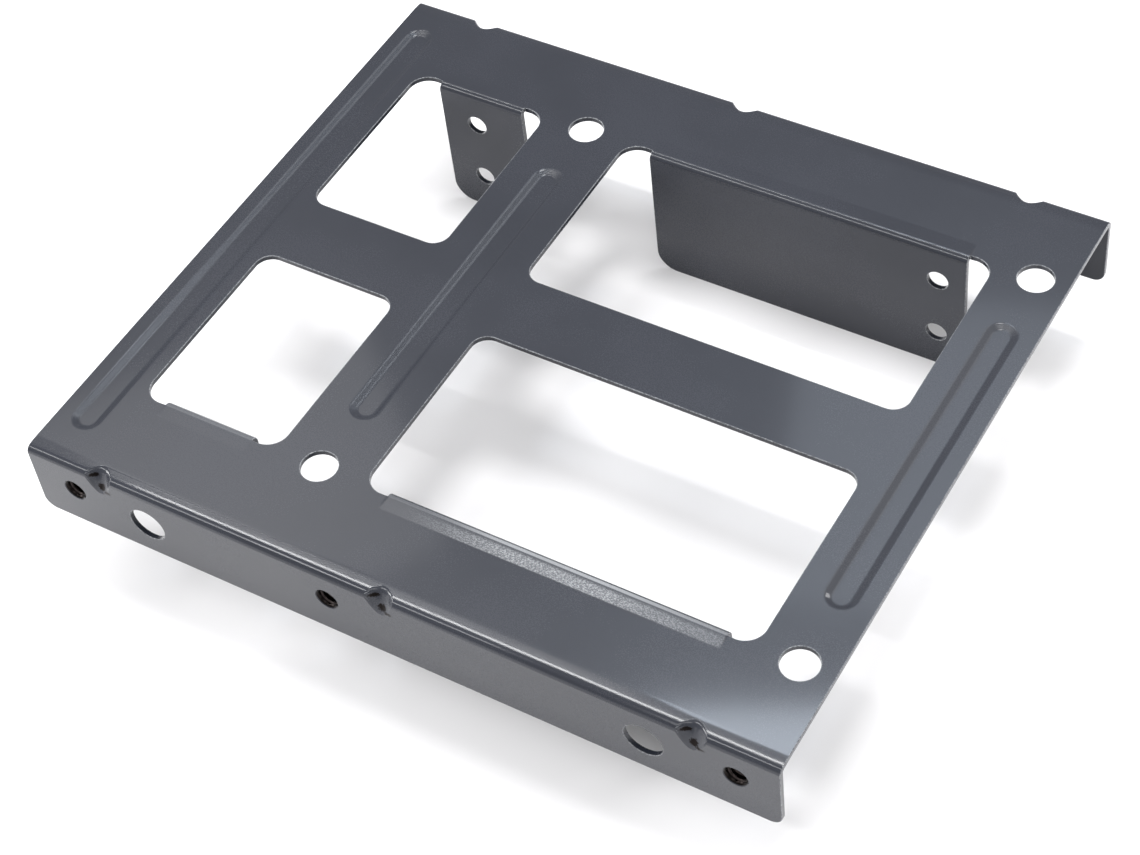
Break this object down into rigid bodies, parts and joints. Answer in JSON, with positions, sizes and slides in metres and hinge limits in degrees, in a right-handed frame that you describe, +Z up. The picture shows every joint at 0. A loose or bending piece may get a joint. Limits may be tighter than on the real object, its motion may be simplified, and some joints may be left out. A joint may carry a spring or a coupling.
{
  "type": "drive bay adapter bracket",
  "caption": "Folded sheet-steel bracket that holds stacked 2.5-inch drives between its inner tabs in a 3.5-inch bay.",
  "frame": {"origin": "centre of the bounding box's base, level with the lower edges of the inner tabs", "axes": "+X along the outer flanges, +Y across them, +Z up from the tabs' lower edges to the plate"},
  "size_m": [0.1148, 0.1016, 0.0232],
  "materials": {
    "paint": "satin dark blue-grey paint with a fine orange peel"
  },
  "bodies": {
    "root": {"bracket": "paint"}
  },
  "joints": []
}
